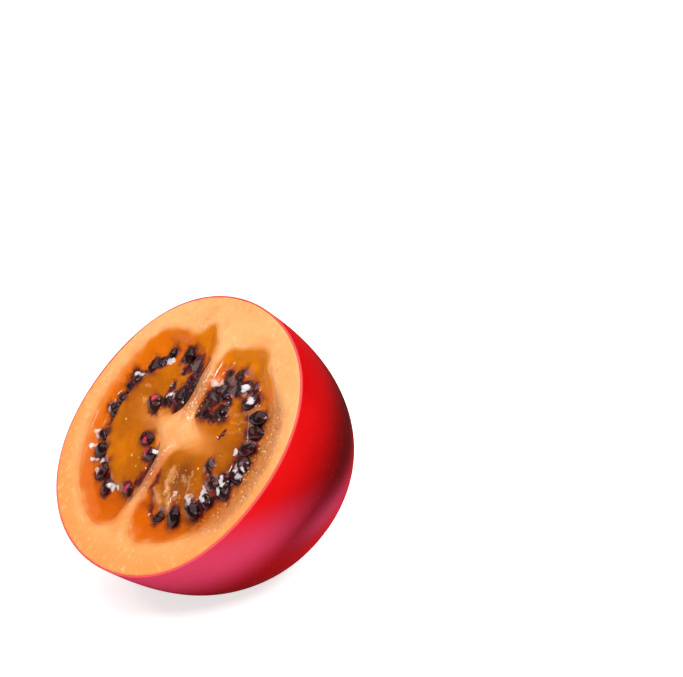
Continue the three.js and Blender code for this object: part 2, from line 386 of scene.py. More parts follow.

# %% [markdown]
# A ripe red tamarillo has a smooth waxy skin: scarlet and crimson run into each other, with faint paler
# flecks. A painted pink reflection lies low beside the cut, and painted shade darkens the far side and the
# underside. The wax is a clear coat. It is strong where the skin faces the eye and faint where it turns
# away, because a bright floor would lay a grey veil over the red there.

# %% Finish of the skin
PATCH_SCALE, FLECK_SCALE, GLOSS_SCALE, PORE_SCALE = 60, 700, 160, 900
PORE_DEPTH = 0.00004
PAINTED_SHEEN_STRENGTH, UNDER_SHADE_STRENGTH = 0.85, 0.9
# deep and wine are colours of painted shade, and rose is the colour of a painted reflection.
RED = {
    "scarlet": rgb(200, 10, 12),
    "crimson": rgb(182, 6, 11),
    "deep": rgb(76, 1, 4),
    "rose": rgb(184, 54, 86),
    "wine": rgb(84, 2, 8),
    "fleck": rgb(226, 70, 70),
    "lip": rgb(216, 82, 80),
}
SCAR_BROWN = rgb(70, 40, 22)
skin_finish, tree, shader = start_material(
    "waxy_red_skin",
    {
        "Subsurface Weight": 0.08,
        "Subsurface Radius": (1.0, 0.2, 0.1),
        "Subsurface Scale": 0.0008,
        "Specular IOR Level": 0.0,
        "Coat Roughness": 0.18,
    },
)
where = object_position(tree)
areas = areas_of(tree, "scar", "lip", "far", "under", "painted_sheen")
patches = ramped(tree, noise(tree, where, PATCH_SCALE, 3), 0.35, 0.65)
flecks = voronoi(tree, where, FLECK_SCALE)["Distance"]
colour = layered(
    tree,
    mixed(tree, patches, RED["scarlet"], RED["crimson"]),
    # Painted shade in deep red on the far side.
    (areas["far"], RED["deep"]),
    # Painted pink reflection of the floor, low beside the cut.
    (times(tree, areas["painted_sheen"], PAINTED_SHEEN_STRENGTH), RED["rose"]),
    # Painted shade in wine red underneath.
    (times(tree, areas["under"], UNDER_SHADE_STRENGTH), RED["wine"]),
    (ramped(tree, flecks, 0.0, 0.22, 0.12, 0.0), RED["fleck"]),
    (areas["lip"], RED["lip"]),
    (areas["scar"], SCAR_BROWN),
)
glancing = add(tree, "LayerWeight", {}).outputs["Facing"]
feed(tree, shader, {
    "Base Color": colour,
    "Roughness": ramped(tree, noise(tree, where, GLOSS_SCALE, 3), 0.3, 0.7, 0.3, 0.42),
    "Normal": bump(tree, noise(tree, where, PORE_SCALE, 3), PORE_DEPTH, 0.5),
    "Coat Weight": ramped(tree, glancing, 0.05, 0.36, 0.3, 0.018),
})
dress([skin_piece], skin_finish)

# %% [markdown]
# ## Seed chambers
# Each chamber's mouth is a closed curve through a few points. A pulp point is known by how far inside
# that curve it lies, which is what shapes the basin, and by its place in the lobe that carries seeds.
# A lobe is an ellipse, given by its centre and radii. The seeds stand in rows along such ellipses: a row
# has a centre, radii, first and last angle in degrees, a count, and the number of its first draw.

# %% Outlines of the chambers
CHAMBER_DEPTH = 23
LEFT = {
    "middle": -9.5,
    "mouth": [
        [-1.5, 10], [-1.8, 15.2], [-4.6, 18.5], [-7.2, 15.9], [-13.4, 14.7], [-17.2, 9.5],
        [-19.2, 2.5], [-19, -5], [-16, -12], [-11, -16.8], [-6.3, -18.9], [-2.3, -17.3],
        [-1.0, -11], [-1.3, -4], [-3.8, 0.6], [-1.4, 4.5],
    ],
    "lobe": ((-5.8, -0.6), (10.3, 12.3)),
    "rows": [
        ((-6.2, -0.6), (9.8, 12.1), 80, 139, 5, 5613),
        ((-6.2, -0.6), (9.8, 12.1), 154, 182, 4, 1294),
        ((-6.2, -0.6), (9.8, 12.1), 201, 288, 5, 6622),
        ((-6.8, 9), (4.6, 5.7), -97, -1, 5, 1603),
        ((-7.3, -6.9), (4.9, 5), 19, 56, 2, 4590),
    ],
}
RIGHT_SIDE = {
    "middle": 9.5,
    "mouth": [
        [0.7, 10], [1.7, 3.9], [5.2, 1.2], [1.6, -2.6], [0.8, -9], [1.4, -16.6],
        [3.2, -17.9], [8.5, -16.2], [14, -12.4], [17.5, -7], [18.9, 0.5], [17.8, 7.5],
        [14.2, 13], [10.2, 16.5], [8.3, 18.6], [4, 17.2], [1.1, 15.8],
    ],
    "lobe": ((6.2, 0), (10.0, 12.6)),
    "rows": [
        ((5.4, 0.2), (10.2, 12.7), -92, -35, 4, 3581),
        ((5.4, 0.2), (10.2, 12.7), -21, 24, 6, 2872),
        ((5.4, 0.2), (10.2, 12.7), 40, 98, 6, 3709),
        ((4.8, 7.3), (1.8, 2.7), 0, 235, 5, 2909),
        ((9.2, -4.3), (2.8, 2.7), 8, 67, 2, 8788),
    ],
}

# %% Curve through the points of a mouth
CURVE_SAMPLES = 60  # on the way from one point to the next


def smooth_outline(points, steps):
    """A centripetal Catmull-Rom curve: between two points the tangents come from their neighbours,
    with knots spaced by the square root of the distance. It is cut in steps of equal length."""
    p = np.array(points, float)
    before, after, beyond = np.roll(p, 1, 0), np.roll(p, -1, 0), np.roll(p, -2, 0)
    chords = (p - before, after - p, beyond - after)
    d0, d1, d2 = (np.sqrt(np.linalg.norm(chord, axis=1))[:, None] for chord in chords)
    leave = ((p - before) / d0 - (after - before) / (d0 + d1) + (after - p) / d1) * d1
    arrive = ((after - p) / d1 - (beyond - p) / (d1 + d2) + (beyond - after) / d2) * d1
    t = np.linspace(0, 1, CURVE_SAMPLES, endpoint=False)[:, None, None]
    curve = (
        (2 * t**3 - 3 * t**2 + 1) * p + (t**3 - 2 * t**2 + t) * leave
        + (3 * t**2 - 2 * t**3) * after + (t**3 - t**2) * arrive
    )
    dense = curve.transpose(1, 0, 2).reshape(-1, 2)
    dense = np.vstack([dense, dense[:1]])
    run = np.append(0, np.cumsum(np.linalg.norm(np.diff(dense, axis=0), axis=1)))
    at = np.linspace(0, run[-1], steps, endpoint=False)
    return np.stack([np.interp(at, run, dense[:, 0]), np.interp(at, run, dense[:, 1])], -1)


# %% How far inside a chamber a point lies
REACH_STEPS = 720
EDGE_STEPS = 150


def reach(chamber, u, v):
    """Share of the way from the chamber's middle to its mouth's edge, by the angle round the middle."""
    edge = smooth_outline(chamber["mouth"], REACH_STEPS) - [chamber["middle"], 0]
    turn, far = np.arctan2(edge[:, 1], edge[:, 0]), np.hypot(edge[:, 0], edge[:, 1])
    order = turn.argsort()
    x = u - chamber["middle"]
    edge_here = np.interp(np.arctan2(v, x), turn[order], far[order], period=2 * math.pi)
    return np.hypot(x, v) / edge_here


def path_distance(u, v, path):
    """Least distance from each point to the straight pieces of a path."""
    a, b = path[:-1].astype(np.float32), path[1:].astype(np.float32)
    p = np.stack([u, v], -1).astype(np.float32)[..., None, :]
    along = np.clip(((p - a) * (b - a)).sum(-1) / ((b - a) ** 2).sum(-1), 0, 1)
    return np.linalg.norm(p - a - along[..., None] * (b - a), axis=-1).min(-1).astype(float)


def inside(chamber, u, v):
    """Distance to the mouth's edge, positive inside the chamber and negative outside it."""
    edge = smooth_outline(chamber["mouth"], EDGE_STEPS)
    distance = path_distance(u, v, np.vstack([edge, edge[:1]]))
    return np.where(reach(chamber, u, v) < 1, distance, -distance)


for side, chamber in (("left", LEFT), ("right", RIGHT_SIDE)):
    clear = inside(chamber, *np.array([[chamber["middle"]], [0.0]]))
    print(side, "chamber: clear round its middle, mm:", np.round(clear, 1))

# %% [markdown]
# ## Flesh
# The cut is flat, but never perfectly so: the edges of the two chambers are rounded, the dividing wall
# stands a little proud, and the cut cells leave a fine grain. How softly the flesh turns into jelly
# differs from place to place, so that is a function of u and v, and the rest is built on it.

# %% Edge between flesh and jelly
EDGE_DROP = 0.3


def softness(u, v):
    """How gently flesh turns into jelly: crisp beside the wall, and softer by smooth steps towards the
    left, the right and below, and by a bell over the core."""
    left = 0.9 * smooth(-13, -17, u) * smooth(11, 7, v)
    right = 1.3 * smooth(10, 15, u) * smooth(15, 10, v)
    core = 1.3 * bell(np.hypot(u / 7, (v - 0.7) / 2.5), 1)
    return 0.3 + left + right + core + 0.5 * smooth(-13, -17, v)


def core_share(u, v):
    """1 in the pale core, where the wall widens and runs out into both lobes: a bell over an ellipse
    whose height is unsettled by noise."""
    return bell(np.hypot(u / 6.2, (v - 0.6) / (1.7 + 0.6 * soft_noise(u / 2, v / 2, 8))), 1)


def edge_level(u, v):
    """Height of the flesh right at a chamber's mouth: lower where it is softer, and nearly level with
    the cut at the core."""
    return -EDGE_DROP * (0.6 + softness(u, v)) * (1 - 0.9 * core_share(u, v))


def jelly_share(u, v, d):
    """Share of the jelly's colour at distance d inside the mouth: half of it right at the edge."""
    return smooth(-1, 1, (d + 0.35 * soft_noise(u / 1.6, v / 1.6, 31)) / (0.4 + softness(u, v)))


# %% Browner and wetter places
def shaded(u, v):
    """Painted shade along the right edge, where the jelly and the flesh beside it are drawn browner. Three
    smooth steps, one across the face and two along it, are multiplied."""
    return smooth(8, 16, u) * smooth(-15, -6, v) * smooth(17, 10, v)


def shade_brown_edge(u, v, d):
    """Painted brown shade at distance d inside the right chamber's mouth: full inside it, gone 3 mm outside.
    """
    return 0.6 * smooth(-3, 0, d) * shaded(u, v)


def wet_edge(u, v, d):
    """Wet grain in a band along the right chamber's mouth: a smooth step up and one down again over the
    distance d, times three steps that keep it to the right."""
    band = smooth(-3.2, -1.2, d) * smooth(3, 1, d)
    return band * smooth(11, 15, u) * smooth(-13, -8, v) * smooth(14, 9, v)


def wet_wall(u, v):
    """Wet grain on the top and the right flank of the dividing wall's upper half: smooth steps up and
    down across it, times the same along it."""
    return smooth(-1.5, -0.5, u) * smooth(2.7, 1.7, u) * smooth(1.5, 4, v) * smooth(14.5, 11, v)


# %% Height of the flesh
SHELF_SLOPE = 1.2


def chamber_floor(chamber, u, v, depth_inside):
    """Inside the mouth the flesh falls away: a steep shelf at first, then the bowl. At share k of the
    way to the mouth the bowl is the chamber's depth times (1 minus k to the shoulder root) to the power
    of one over the shoulder power, which is the curve of the skin."""
    k = np.clip(reach(chamber, u, v), 0, 1)
    bowl = CHAMBER_DEPTH * (1 - k**SHOULDER_ROOT) ** (1 / SHOULDER_POWER)
    shelf = edge_level(u, v) - SHELF_SLOPE * np.minimum(depth_inside, 1)
    return shelf - bowl * smooth(0.6, 1.6, depth_inside)


def flesh_height(u, v, insides):
    """Fine waves, lowered to a rounded edge beside each chamber, and the chamber's floor inside."""
    waves = 0.04 * soft_noise(u / 2.3, v / 2.3, 5) + 0.03 * soft_noise(u / 0.7, v / 0.7, 6)
    wall = 0.25 * bell(u - 0.2, 0.8) * smooth(16, 12, np.abs(v)) * smooth(1, 5, np.abs(v - 0.5))
    height = waves + wall
    for chamber, d in insides:
        rounding = edge_level(u, v) * bell(np.minimum(d, 0), 0.35 + 1.1 * softness(u, v))
        height = np.where(d > 0, chamber_floor(chamber, u, v, d), height + rounding)
    return height


# %% [markdown]
# The top is a square grid pressed into a disc, which keeps its cells even, where rings round a centre
# would crowd there. Its rim goes on as rings inside the skin, down to the blossom end.

# %% Points of the flesh
FACE_GRID = 252
FLESH_ROWS = 26
FLESH_GAP = 0.03
RIM_DROP = 0.06

side = np.linspace(-1, 1, FACE_GRID)
a, b = np.meshgrid(side, side, indexing="ij")
disc_x, disc_y = a * np.sqrt(1 - b**2 / 2), b * np.sqrt(1 - a**2 / 2)
turn, share = np.arctan2(disc_y, disc_x), np.hypot(disc_x, disc_y)
flesh_radius = face_radius(turn) - SKIN_THICKNESS - FLESH_GAP
u, v = share * flesh_radius * np.cos(turn), share * flesh_radius * np.sin(turn)
insides = [(chamber, inside(chamber, u, v)) for chamber in (LEFT, RIGHT_SIDE)]
w = flesh_height(u, v, insides) - RIM_DROP * smooth(0.985, 1, share)
top = place(u, v, w).reshape(-1, 3)

number = np.arange(FACE_GRID**2).reshape(FACE_GRID, FACE_GRID)
rim = np.concatenate([number[:-1, 0], number[-1, :-1], number[:0:-1, -1], number[0, :0:-1]])
shares = lengthwise(FLESH_ROWS)[1:, None]
below = place(*skin_ring(turn.ravel()[rim], shares, SKIN_THICKNESS + FLESH_GAP)).reshape(-1, 3)
end = place(0.0, 0.0, -(HALF_LENGTH - SKIN_THICKNESS - FLESH_GAP))[None]
points = np.vstack([top, below, end])
points[:, 2] = np.maximum(points[:, 2], (SKIN_THICKNESS + FLESH_GAP) * MM)
print("flesh points:", len(top), "on the cut and", len(points) - len(top), "inside the skin")

# %% [markdown]
# Six kinds of place are stored with the flesh: wet grain, the deeper orange near the skin, jelly showing
# through, painted shade on the right, painted shade beside the dividing wall with a darker pink-brown
# along it, and painted brown shade at the right edge.

# %% Colour areas of the flesh
u, v = u.ravel(), v.ravel()
inside_left, inside_right = (d.ravel() for _, d in insides)
low_wall = 0.9 * bell(u - 0.1, 0.8) * smooth(0, -4, v) * smooth(-14, -11, v)
top_right = 0.6 * bell(np.hypot(u - 11, v - 15.5), 3)
top_left = 0.5 * bell(np.hypot(u + 6, v - 19), 2.5)
grain = wet_wall(u, v) + low_wall + wet_edge(u, v, inside_right) + (top_right + top_left)
outer_wall = smooth(16.5, 23.2, np.hypot(u, v)) * smooth(14, -8, v)
wall_foot = bell(np.hypot(u, v + 16.5), 3.6)
# Painted shade in bands beside the dividing wall, and a darker pink-brown along its middle and lower parts.
flank_shadows = bell(np.abs(u - 0.2) - 1.2, 0.7) * smooth(3, 6, np.abs(v)) * smooth(14, 11, np.abs(v))
darker_wall = bell(u, 1.5) * (0.75 * bell(v - 7.5, 4) + 0.9 * bell(v + 7.5, 4.5))
flesh_areas = {
    "grain": np.clip(grain, 0, 1),
    "edge": np.maximum(outer_wall, wall_foot),
    "jelly": np.maximum(jelly_share(u, v, inside_left), jelly_share(u, v, inside_right)),
    "shade": shaded(u, v),
    "flank": np.maximum(flank_shadows * (0.6 + 0.3 * smooth(2, -4, v)), darker_wall),
    "brown": shade_brown_edge(u, v, inside_right),
}
print("share of the face with wet grain:", round(float(flesh_areas["grain"].mean()), 2))

# %% Flesh mesh
face_cells = np.stack([number[:-1, :-1], number[1:, :-1], number[1:, 1:], number[:-1, 1:]], -1)
rings = np.vstack([rim, len(top) + np.arange(len(below)).reshape(len(shares), -1)])
ring_cells = rings.ravel()[ring_faces(len(rings), len(rim))]
flesh_faces = [face_cells.reshape(-1, 4), ring_cells[:, ::-1], fan_faces(len(points) - 1, rings[-1])]
hidden = np.zeros(len(points) - len(top))
flesh_values = {key: np.append(area, hidden) for key, area in flesh_areas.items()}
flesh_piece = new_piece("tamarillo_flesh", points, flesh_faces, ["flesh"], flesh_values)

# %% [markdown]
# Raw flesh lets light in a little way, so it glows at its edges and its shadows are orange and soft.
# Subsurface scattering gives that. The grain of cut cells is a fine bump, coarser and wetter beside the
# dividing wall and along the right edge, where juice has gathered.

# %% Colours shared by flesh and jelly
MOAT_SCALE = 110
FLESH = {
    "pale": rgb(232, 164, 102),
    "warm": rgb(230, 154, 90),
    "deep": rgb(230, 142, 72),
    "streak": rgb(236, 186, 138),
    "mottle": rgb(228, 142, 84),
    "wall": rgb(142, 82, 54),
    "shaded_brown": rgb(140, 78, 40),
    "speck": rgb(240, 206, 176),
    "brown speck": rgb(226, 160, 84),
    "hollow_shade": rgb(186, 110, 60),
}
JELLY = {"red": rgb(208, 84, 3), "yellow": rgb(206, 102, 4), "shaded": rgb(188, 104, 36)}


def moat_colour(tree, where, shade):
    """Bright orange jelly in redder and yellower patches, turned brown by painted shade where shade is high.
    """
    patches = ramped(tree, noise(tree, where, MOAT_SCALE, 3), 0.35, 0.65)
    return layered(tree, mixed(tree, patches, JELLY["red"], JELLY["yellow"]), (shade, JELLY["shaded"]))


# %% Wet grain
GRAIN_SCALE = 1700  # juice drops of about half a millimetre
GRAIN_DEPTH = 0.0003


def wet_drops(tree, drops, amount, sparseness, strength):
    """The cells that hold a drop, chosen by their own random colour, and the pale speck painted in each as a
    glint.
    """
    chosen = times(tree, amount, ramped(tree, drops["Color"], sparseness, sparseness + 0.24))
    return chosen, times(tree, chosen, ramped(tree, drops["Distance"], 0.1, 0.4, strength, 0.0))


# %% Finish of the flesh
WARMTH_SCALE, STREAK_SCALE, MOTTLE_SCALE, JUICE_SCALE, CELL_SCALE = 120, 1400, 420, 800, 2200
CELL_DEPTH = 0.00005
flesh_finish, tree, shader = start_material(
    "moist_orange_flesh",
    {
        "Subsurface Weight": 0.35,
        "Subsurface Radius": (1.0, 0.42, 0.16),
        "Subsurface Scale": 0.0014,
        "Specular IOR Level": 0.3,
        "Coat Roughness": 0.1,
    },
)
where = object_position(tree)
areas = areas_of(tree, "grain", "edge", "jelly", "shade", "flank", "brown")
warmth = ramped(tree, noise(tree, where, WARMTH_SCALE, 3), 0.35, 0.7)
stretch = {"Vector": where, "Rotation": (0.7, 0, 0.5), "Scale": (1.0, 0.25, 1.0)}
streaks = noise(tree, add(tree, "Mapping", stretch).outputs[0], STREAK_SCALE, 2)
juice = noise(tree, where, JUICE_SCALE, 2)
drops = voronoi(tree, where, GRAIN_SCALE)
gathered = times(tree, areas["grain"], ramped(tree, juice, 0.32, 0.52))
# Pale specks painted on the wet grain as glints.
chosen, glint_specks = wet_drops(tree, drops, gathered, sparseness=0.38, strength=0.9)
colour = layered(
    tree,
    mixed(tree, warmth, FLESH["pale"], FLESH["warm"]),
    (areas["edge"], FLESH["deep"]),
    (ramped(tree, streaks, 0.52, 0.76, 0, 0.45), FLESH["streak"]),
    (ramped(tree, noise(tree, where, MOTTLE_SCALE, 3), 0.5, 0.75, 0, 0.4), FLESH["mottle"]),
    # Painted shade beside the dividing wall, then painted brown shade at the right edge.
    (areas["flank"], FLESH["wall"]),
    (areas["brown"], FLESH["shaded_brown"]),
    (areas["jelly"], moat_colour(tree, where, areas["shade"])),
    # Painted glints: pale specks on the wet grain, golden where it is browned.
    (glint_specks, mixed(tree, areas["brown"], FLESH["speck"], FLESH["brown speck"])),
    # Painted shade in the hollows of the wet grain, as darker brown patches.
    (times(tree, areas["grain"], ramped(tree, juice, 0.46, 0.3, 0.0, 0.6)), FLESH["hollow_shade"]),
)
wet = bump(tree, drops["Distance"], GRAIN_DEPTH, chosen)
feed(tree, shader, {
    "Base Color": colour,
    "Normal": bump(tree, noise(tree, where, CELL_SCALE, 3), CELL_DEPTH, 0.6, wet),
    "Roughness": ramped(tree, areas["grain"], 0, 1, 0.42, 0.15),
    "Coat Weight": ramped(tree, areas["grain"], 0, 1, 0.1, 0.45),
})
dress([flesh_piece], flesh_finish)

# %% [markdown]
# ## Seeds and their places
# The seeds stand round the edge of each lobe. The rows are arcs of an ellipse, and a fixed draw from a
# sine moves each seed a little, so that they are where the solids have them.

# %% Places of the seeds
SEED_LENGTH, SEED_WIDTH, SEED_THICKNESS = 3.0, 2.0, 1.5
DRAWS_PER_SEED = 5


def draw(k):
    """A fixed draw from -1 to 1: the fraction left over from a large multiple of a sine."""
    x = np.sin(k * 12.9898 + 4.1414) * 43758.5453
    return 2 * (x - np.floor(x)) - 1


def seed_places(chamber):
    """u, v, size, roll and turn of every seed: its angle steps along the arc, and draws unsettle it."""
    rows = []
    for centre, radii, start, stop, count, draws in chamber["rows"]:
        n = draws + DRAWS_PER_SEED * np.arange(count)
        step = (stop - start) / (count - 1)
        t = np.radians(start + step * np.arange(count) + 0.35 * step * draw(n))
        out = 1 + 0.7 * draw(n + 1) / radii[0]
        outwards = np.arctan2(radii[1] * np.sin(t), radii[0] * np.cos(t))
        rows.append([
            centre[0] + radii[0] * out * np.cos(t), centre[1] + radii[1] * out * np.sin(t),
            1 + 0.2 * draw(n + 2), 0.5 * draw(n + 3), outwards + 0.6 * draw(n + 4),
        ])
    return np.concatenate(rows, axis=1)


print("seeds, left and right:", [seed_places(chamber).shape[1] for chamber in (LEFT, RIGHT_SIDE)])

# %% [markdown]
# ## Pulp
# The pulp is one wet surface in each chamber. It slopes down from the flesh to a moat of clear jelly and
# rises again to the lobe. What lies on it has no rule of its own: dark jelly and paler streaks are
# smeared by the knife, and whitish bits are painted glints. They are drawn as short paths, each with its
# points, its half width in mm and its strength, and noise makes their edges natural.

# %% Dark jelly and brown clouds
DARK_PATHS = [
    ([(-7.4, 2.7), (-5.2, 3.9), (-3.0, 4.6), (-2.3, 6.5), (-2.3, 8.6), (-3.4, 10.4), (-4.8, 11.9)], 1.25, 1),
    ([(-2.0, 3.4), (-1.6, 6), (-1.6, 9.6)], 1.2, 0.8),
    ([(-1.6, 10), (-1.9, 13)], 0.6, 0.5),
    ([(-4.9, 10.4), (-5.8, 9.2)], 0.55, 0.95),
    ([(-6.2, 7.2), (-5.8, 5.6)], 0.6, 0.95),
    ([(-1.8, 4.6), (-1.9, 9.0)], 1.5, 0.95),
    ([(-1.3, -2.2), (-1.2, -7), (-2.2, -12.0)], 0.8, 0.75),
    ([(2.7, 4.6), (2.8, 9.4), (5.6, 10.2), (7.6, 10.9)], 1.0, 1.0),
    ([(3.4, 4.9), (5.6, 4.9), (6.9, 7.6)], 0.9, 0.95),
    ([(3.6, 5.2), (4.2, 8.6)], 1.7, 0.9),
    ([(6.4, 5.6), (6.8, 8.6)], 0.8, 0.9),
    ([(3.6, 12.4), (5.6, 11.6), (8.6, 12.0), (10.6, 11.2)], 0.9, 0.75),
    ([(9.0, 4.2), (9.1, 2.7)], 0.3, 0.9),
    ([(9.9, -0.9), (11.4, -2.9), (13.3, -4.3)], 0.4, 0.9),
    ([(12.0, -5.2), (12.6, -8.8)], 0.7, 0.8),
    ([(1.3, -6.3), (1.5, -9.7), (3.2, -12.6), (4.8, -13.6)], 0.75, 0.5),
    (
        [(-13, 8), (-15, 5), (-15.7, 1), (-16, -2), (-15.1, -5.7), (-13, -8.5), (-10, -11), (-8.2, -12.5)],
        0.7, 0.6,
    ),
    ([(14, 8), (15, 4), (16, 0), (14.7, -4.5), (12.1, -8.2)], 0.7, 0.6),
]
# Brown clouds in the jelly, where seeds lie deeper than the cut: centre, radius and strength.
CLOUDS = [
    (-10.7, 11.8, 1.5, 0.55), (-6.9, 12.5, 1.3, 0.5), (5.8, 13.7, 1.2, 0.6), (8.1, 13.6, 1.6, 0.5),
    (8.7, -11.6, 1.8, 0.55), (6.2, -4.1, 1.4, 0.4), (12.0, -10.0, 1.8, 0.4), (13.6, -7.2, 1.5, 0.4),
    (14.6, 6.4, 1.3, 0.5), (-4.4, -12.6, 1.6, 0.4), (5.0, 8.6, 2.2, 0.5), (-1.7, -8.6, 1.3, 0.6),
    (-1.6, -12.2, 1.3, 0.5), (-1.5, 12.0, 1.2, 0.4), (2.0, -12.0, 1.0, 0.4),
]
# Where thick dark jelly covers the seeds: centre and radius.
COVERED = [
    (-2.2, 7.6, 2.2), (-3.6, 4.8, 1.6), (-4.2, 11.3, 1.6), (4.8, 7.3, 3.2), (4.2, 12.4, 1.6),
    (6.5, 13.2, 1.7), (9.6, 12.3, 1.6), (10.2, -1.7, 0.9), (12.3, -3.7, 0.9),
]
print("dark paths:", len(DARK_PATHS), "clouds:", len(CLOUDS), "covered places:", len(COVERED))

# %% Pale streaks and whitish bits
PALE_PATHS = [
    ([(3.7, -5.0), (4.2, -7.6), (5.4, -9.2), (7.3, -10.4)], 0.45, 0.75),
    ([(4.6, -5.4), (4.8, -7.0)], 0.25, 0.6),
    ([(2.8, -9.7), (4.4, -10.4)], 0.7, 0.6),
    ([(6.4, -5.2), (7.2, -6.2)], 0.3, 0.5),
    ([(7.6, -3.6), (8.2, -5.8)], 0.2, 0.5),
    ([(8.8, -6.0), (9.3, -7.4)], 0.25, 0.6),
    ([(-11.6, 4.6), (-10.4, 4.3)], 0.3, 0.4),
    ([(-10.8, 2.4), (-9.6, 2.0)], 0.35, 0.45),
    ([(9.4, 7.3), (11.4, 7.9)], 0.25, 0.25),
    ([(9.6, 5.9), (12.4, 6.8)], 0.25, 0.25),
    ([(10.0, 4.4), (13.0, 5.3)], 0.25, 0.2),
]
# Painted glints: whitish and pinkish bits where the wet seeds and jelly shine, again in the same form.
GLINT_PATHS = [
    ([(-10.4, 9.4), (-9.3, 9.8)], 0.55, 1),
    ([(-15.0, 5.5), (-13.8, 6.0)], 0.3, 1),
    ([(-5.9, 4.6), (-4.7, 5.2)], 0.35, 1),
    ([(-7.2, -12.6), (-5.9, -12.1)], 0.45, 1),
    ([(-1.5, -4.2), (-1.1, -3.5)], 0.4, 0.9),
    ([(1.6, 10.1), (3.2, 10.4)], 0.5, 1),
    ([(7.2, 11.7), (8.2, 12.0), (8.6, 10.7)], 0.3, 1),
    ([(10.6, 10.6), (11.6, 9.6)], 0.35, 1),
    ([(15.2, 9.0), (16.2, 8.6)], 0.25, 0.9),
    ([(15.6, 1.0), (16.5, 0.4)], 0.3, 0.85),
    ([(15.3, -0.1), (16.8, -1.2)], 0.25, 0.85),
    ([(14.2, -2.2), (14.8, -3.4)], 0.35, 0.95),
    ([(14.4, -4.2), (15.2, -5.2)], 0.3, 1),
    ([(11.6, -5.4), (12.8, -6.6)], 0.4, 1),
    ([(9.7, -7.6), (10.6, -8.2)], 0.5, 1),
    ([(6.8, -8.2), (7.8, -8.9)], 0.4, 1),
    ([(-17.3, -6.0), (-16.6, -6.6)], 0.4, 0.9),
    ([(-16.1, -8.7), (-14.6, -7.9)], 0.45, 1),
    ([(-14.6, -10.2), (-12.0, -9.8)], 0.3, 1),
    ([(-12.8, -11.2), (-11.6, -12.0)], 0.4, 1),
    ([(-17.6, -1.9), (-17.1, -1.7)], 0.35, 0.9),
    ([(13.0, 2.2), (13.7, 1.9)], 0.35, 0.9),
]
print("pale streaks:", len(PALE_PATHS), "whitish bits:", len(GLINT_PATHS))


# %% Painting along the paths
def covered(u, v):
    """1 where dark jelly lies over the seeds: the highest of the bell curves round those places."""
    return np.max([bell(np.hypot(u - cu, v - cv), radius) for cu, cv, radius in COVERED], axis=0)


def bent(u, v):
    """The same places moved a little by noise, which makes what is painted there ragged."""
    return (
        u + 0.45 * soft_noise(u / 0.9, v / 0.9, 61) + 0.2 * soft_noise(u / 0.35, v / 0.35, 62),
        v + 0.45 * soft_noise(u / 0.9, v / 0.9, 63) + 0.2 * soft_noise(u / 0.35, v / 0.35, 64),
    )


def splinters(u, v, size, seed):
    """One seeded point stands in each square cell, and every place is moved to its nearest point. A
    soft shape painted there breaks into flat pieces with straight edges."""
    draws = np.random.default_rng(seed).uniform(0, 1, (2, LATTICE, LATTICE))
    i0, j0 = np.floor(u / size).astype(int), np.floor(v / size).astype(int)
    nearest = np.full(u.shape, np.inf)
    site_u, site_v = u.copy(), v.copy()
    for step in range(9):  # the point's own cell and the eight round it
        i, j = i0 + step // 3 - 1, j0 + step % 3 - 1
        shift_x, shift_y = draws[:, i % LATTICE, j % LATTICE]
        x, y = (i + shift_x) * size, (j + shift_y) * size
        off = np.hypot(u - x, v - y)
        site_u, site_v = np.where(off < nearest, x, site_u), np.where(off < nearest, y, site_v)
        nearest = np.minimum(nearest, off)
    return site_u, site_v


def painted(u, v, paths):
    """The strongest of the bell curves that fall off on both sides of each path."""
    total = np.zeros_like(u)
    for points, width, strength in paths:
        total = np.maximum(total, strength * bell(path_distance(u, v, np.array(points, float)), width))
    return total


def glint_share(u, v):
    """Up to 1 on the painted glints, whitish splinters of uneven strength."""
    su, sv = splinters(u, v, 0.7, 71)
    return smooth(0.48, 0.54, painted(su, sv, GLINT_PATHS)) * (0.8 + 0.2 * soft_noise(su * 9, sv * 9, 72))


# %% [markdown]
# Round each seed the jelly swells and is stained dark. That, the basin and the lobe make up a height and
# a few areas, worked out for every point of the surface. The areas go to the material as attributes.

# %% Relief and colour areas of the pulp
BASIN_DEPTH = 1.0
BASIN_WIDTH = 2.6
LOBE_TOP = -0.42
LOBE_CROWN = 0.1
RIB_HEIGHT, RIPPLE_HEIGHT = 0.05, 0.04
SEED_SWELL, JELLY_SWELL = 0.32, 0.4
DARK_DIP, STREAK_RISE, GLINT_RISE = 0.2, 0.25, 0.12


def seed_distance(chamber, u, v):
    """Distance to the nearest seed, in steps of about its own half length and width."""
    near = np.full(u.shape, np.inf)
    for su, sv, size, _, outwards in seed_places(chamber).T:
        along = (u - su) * math.cos(outwards) + (v - sv) * math.sin(outwards)
        across = (v - sv) * math.cos(outwards) - (u - su) * math.sin(outwards)
        near = np.minimum(near, np.hypot(along / (0.6 * SEED_LENGTH), across / (0.65 * SEED_WIDTH)) / size)
    return near


def raggedness(u, v):
    """About 1, more and less in soft blotches that splinters break up."""
    su, sv = splinters(u, v, 0.5, 73)
    return 1 + 0.28 * (soft_noise(u / 1.1, v / 1.1, 21) + 0.6 * soft_noise(9 * su, 9 * sv, 22))


def clouded(u, v, ragged):
    """The strongest of the brown clouds, each a bell curve round its centre."""
    bells = [power * bell(np.hypot(u - cu, v - cv) / ragged, radius) for cu, cv, radius, power in CLOUDS]
    return np.max(bells, axis=0)


